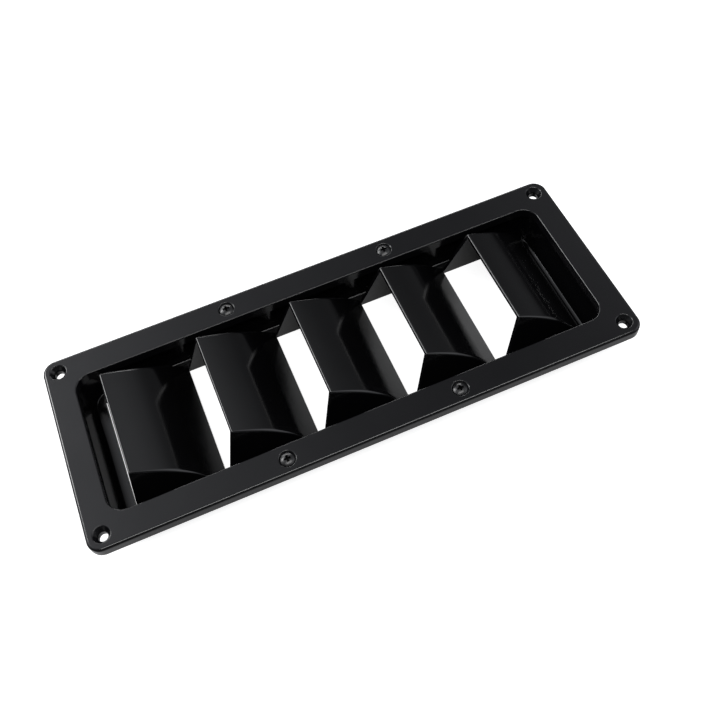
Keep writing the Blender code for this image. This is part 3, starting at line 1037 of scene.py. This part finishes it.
@dataclass
class JoiningScrew:
    """One oval-head, cross-recess screw seated in its countersink.

    Its head is a little smaller than in the solids, and its recess is shorter and deeper
    so that the cross reads dark.
    """

    flange: Flange
    place: ScrewPlace
    spot: Pair
    frame_top: float
    head_radius: float = 4.0 * MM
    crown: float = 1.3 * MM
    rim_round: float = 0.12 * MM
    length: float = 14.0 * MM
    tip_length: float = 2.5 * MM
    recess_span: float = 4.3 * MM
    recess_width: float = 1.3 * MM
    recess_depth: float = 2.6 * MM
    recess_floor_shares: Pair = (0.75, 0.9)
    point_share: float = 0.15
    head_rings: int = 14
    crown_facing: float = 0.5
    under_facing: float = -0.1

    @property
    def rim(self) -> float:
        """Height of the head's widest circle, where it nears its countersink."""
        gap = self.flange.countersink_radius - self.head_radius - SEAT_GAP * math.sqrt(2)
        return self.frame_top - gap

    def build(self) -> bpy.types.Object:
        """Model the screw.

        Returns:
            The screw as one closed solid.
        """
        shank = self.flange.shank_radius
        tip = self.frame_top - self.length
        rim = self.rim
        neck = rim - (self.head_radius - shank)
        profile = [(shank * self.point_share, tip), (shank, tip + self.tip_length),
                   (shank, neck)]
        profile += [(self.head_radius - self.rim_round, rim - self.rim_round),
                    (self.head_radius, rim)]
        bow = (self.head_radius ** 2 + self.crown ** 2) / (2 * self.crown)
        spread = math.asin(self.head_radius / bow)
        for step in range(1, self.head_rings):
            angle = spread * (1 - step / self.head_rings)
            height = rim + self.crown - bow * (1 - math.cos(angle))
            profile.append((bow * math.sin(angle), height))
        piece = turned(f"joining_screw_{self.place.value}", profile, self.spot)
        for along_x in (True, False):
            combine(piece, self.recess_cutter(rim + self.crown, along_x), "DIFFERENCE")
        finish_normals(piece)
        return piece

    def recess_cutter(self, top: float, along_x: bool) -> bpy.types.Object:
        """Make one bar of the cross recess, tapered towards its bottom.

        Args:
            top: Height of the crown.
            along_x: True for the bar along X, False for the one along Y.

        Returns:
            The cutter.
        """
        sections = []
        levels = ((self.recess_floor_shares, top - self.recess_depth),
                  ((1.0, 1.0), top + OVERCUT))
        for (long_share, wide_share), z in levels:
            half = (self.recess_span / 2 * long_share, self.recess_width / 2 * wide_share)
            if not along_x:
                half = half[::-1]
            sections.append([(self.spot[0] + x * half[0], self.spot[1] + y * half[1], z)
                             for x, y in ((-1, -1), (1, -1), (1, 1), (-1, 1))])
        return loft("recess_cutter", sections)

    def dress(self, piece: bpy.types.Object, coating: bpy.types.Material,
              recess_shade: bpy.types.Material) -> None:
        """Give the screw its black coating, with a painted shade on the faces inside the cross
        recess.

        Args:
            piece: The finished screw.
            coating: The coating of the whole screw.
            recess_shade: The painted shade for the faces inside the recess.
        """
        dress(piece, coating, f"screw_{self.place.value}")
        piece.data.materials.append(recess_shade)
        floor = self.rim + self.crown - self.recess_depth
        axis = Vector((self.spot[0], self.spot[1], 0.0))
        # Faces inside the cross recess get the painted shade.
        for face in piece.data.polygons:
            near = (face.center - axis).to_2d().length < self.recess_span / 2
            sunk = face.normal.z < self.crown_facing or face.center.z < self.rim
            above = face.normal.z > self.under_facing and face.center.z > floor - SEAT_GAP
            if near and sunk and above:
                face.material_index = 1


# Studio

@dataclass
class SoftBox:
    """One rectangular studio light, aimed at the vent."""

    name: str
    place: Point
    size: Pair
    watts: float
    aim: Point = (0.0, 0.0, 0.02)

    def build(self) -> None:
        """Hang the light and aim it."""
        lamp = bpy.data.lights.new(self.name, "AREA")
        lamp.shape = "RECTANGLE"
        lamp.size, lamp.size_y = self.size
        lamp.energy = self.watts
        light = bpy.data.objects.new(self.name, lamp)
        light.location = self.place
        towards = Vector(self.aim) - Vector(self.place)
        light.rotation_euler = towards.to_track_quat("-Z", "Y").to_euler()
        bpy.context.collection.objects.link(light)


@dataclass(frozen=True)
class WallGlow:
    """A soft patch of light on the studio's walls, as a bounce board makes it."""

    towards: Point
    strength: float
    tightness: float


@dataclass
class Studio:
    """The white table, the soft lights and the camera."""

    table_size: float = 6.0
    table_finish: WhiteTable = field(default_factory=WhiteTable)
    room_grey: float = 0.10
    room_tint: str = "#f8faff"
    backdrop: str = "#ffffff"
    skyline: Pair = (0.0, 0.09)
    glows: tuple[WallGlow, ...] = (
        WallGlow((-0.55, 0.50, 0.67), 1.35, 7.0),
        WallGlow((0.585, 0.488, 0.644), 0.50, 40.0),
        WallGlow((0.88, 0.46, 0.12), 0.06, 200.0),
        WallGlow((0.84, -0.20, 0.50), 1.3, 12.0),
    )
    camera_place: Point = (-0.0609532, -0.2509149, 0.4433840)
    camera_turn: Point = (30.62546, 3.90895, -22.68577)
    lens_mm: float = 42.70
    sensor_mm: float = 36.0
    clip_start: float = 10.0 * MM
    lights: tuple[SoftBox, ...] = (
        SoftBox("softbox_above_front", (0.05, -0.45, 1.40), (1.5, 0.3), 11.0),
        SoftBox("softbox_behind_left", (-0.78, 0.69, 0.78), (0.5, 0.4), 6.3),
        SoftBox("strip_behind", (0.10, 1.25, 0.50), (1.4, 0.2), 6.7),
    )

    def build(self) -> None:
        """Set the table, the lights, the room and the camera."""
        self.lay_table()
        for light in self.lights:
            light.build()
        self.light_room()
        self.place_camera()
        bpy.context.scene.view_settings.view_transform = "Standard"

    def lay_table(self) -> None:
        """Lay the table under the vent."""
        builder = bmesh.new()
        bmesh.ops.create_grid(builder, x_segments=1, y_segments=1, size=self.table_size / 2)
        table = new_object("table_top", builder)
        table.data.materials.append(self.table_finish.material())

    def light_room(self) -> None:
        """Fill the room with dim grey and soft glows; the camera sees plain white."""
        world = bpy.data.worlds.new("studio_room")
        bpy.context.scene.world = world
        world.use_nodes = True
        tree = world.node_tree
        tree.nodes.clear()
        way = add_node(tree, "ShaderNodeTexCoord").outputs["Generated"]
        light = self.sum_glows(tree, way)
        height = add_node(tree, "ShaderNodeSeparateXYZ", None, {0: way}).outputs["Z"]
        open_sky = add_node(tree, "ShaderNodeMapRange", {"interpolation_type": "SMOOTHSTEP"},
                            {"Value": height, "From Min": self.skyline[0],
                             "From Max": self.skyline[1]})
        room = add_node(tree, "ShaderNodeMath", {"operation": "MULTIPLY"},
                        {0: light, 1: open_sky.outputs["Result"]})
        path = add_node(tree, "ShaderNodeLightPath")
        strength = add_node(tree, "ShaderNodeMapRange", None,
                            {"Value": path.outputs["Is Camera Ray"],
                             "To Min": room.outputs[0], "To Max": 1.0})
        tint = add_node(tree, "ShaderNodeMix", {"data_type": "RGBA"},
                        {"Factor": path.outputs["Is Camera Ray"],
                         MIX_FIRST: linear(self.room_tint),
                         MIX_SECOND: linear(self.backdrop)})
        glow = add_node(tree, "ShaderNodeBackground", None,
                        {"Color": tint.outputs[MIX_RESULT],
                         "Strength": strength.outputs["Result"]})
        add_node(tree, "ShaderNodeOutputWorld", None, {"Surface": glow.outputs[0]})

    def sum_glows(self, tree: bpy.types.NodeTree,
                  way: bpy.types.NodeSocket) -> bpy.types.NodeSocket:
        """Add up the wall glows that lie in a direction.

        Args:
            tree: The world's node tree.
            way: The direction.

        Returns:
            The socket with their strength and the room's own grey.
        """
        total: bpy.types.NodeSocket | float = self.room_grey
        for wall_glow in self.glows:
            centre = Vector(wall_glow.towards).normalized()
            facing = add_node(tree, "ShaderNodeVectorMath", {"operation": "DOT_PRODUCT"},
                              {0: way, 1: centre}).outputs["Value"]
            ahead = add_node(tree, "ShaderNodeMath", {"operation": "MAXIMUM"},
                             {0: facing, 1: 0.0}).outputs[0]
            lobe = add_node(tree, "ShaderNodeMath", {"operation": "POWER"},
                            {0: ahead, 1: wall_glow.tightness}).outputs[0]
            inputs = {0: lobe, 1: wall_glow.strength, 2: total}
            total = add_node(tree, "ShaderNodeMath", {"operation": "MULTIPLY_ADD"},
                             inputs).outputs[0]
        return total

    def place_camera(self) -> None:
        """Place the camera where the photograph was taken from."""
        lens = bpy.data.cameras.new("photo_camera")
        lens.lens = self.lens_mm
        lens.sensor_width = self.sensor_mm
        lens.clip_start = self.clip_start
        camera = bpy.data.objects.new("photo_camera", lens)
        camera.location = self.camera_place
        camera.rotation_euler = tuple(math.radians(angle) for angle in self.camera_turn)
        bpy.context.collection.objects.link(camera)
        bpy.context.scene.camera = camera


def main() -> None:
    """Build the vent and its studio and report each piece."""
    logging.basicConfig(level=logging.INFO, format="%(name)s: %(message)s")
    flange = Flange()
    frame_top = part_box("front_frame")[1].z
    front = FrontFrame(flange, frame_top)
    front.dress(front.build())
    tub = LouvreTub(flange, frame_top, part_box("louvre_tub")[1].z)
    tub.dress(tub.build())
    # The second material is the painted shade for the screws' cross recesses.
    coating, recess_shade = CoatedScrewSteel().material(), RecessPaintedShade().material()
    for place, spot in zip(ScrewPlace, flange.joining_holes):
        screw = JoiningScrew(flange, place, spot, frame_top)
        screw.dress(screw.build(), coating, recess_shade)
    Studio().build()


if __name__ == "__main__":
    main()
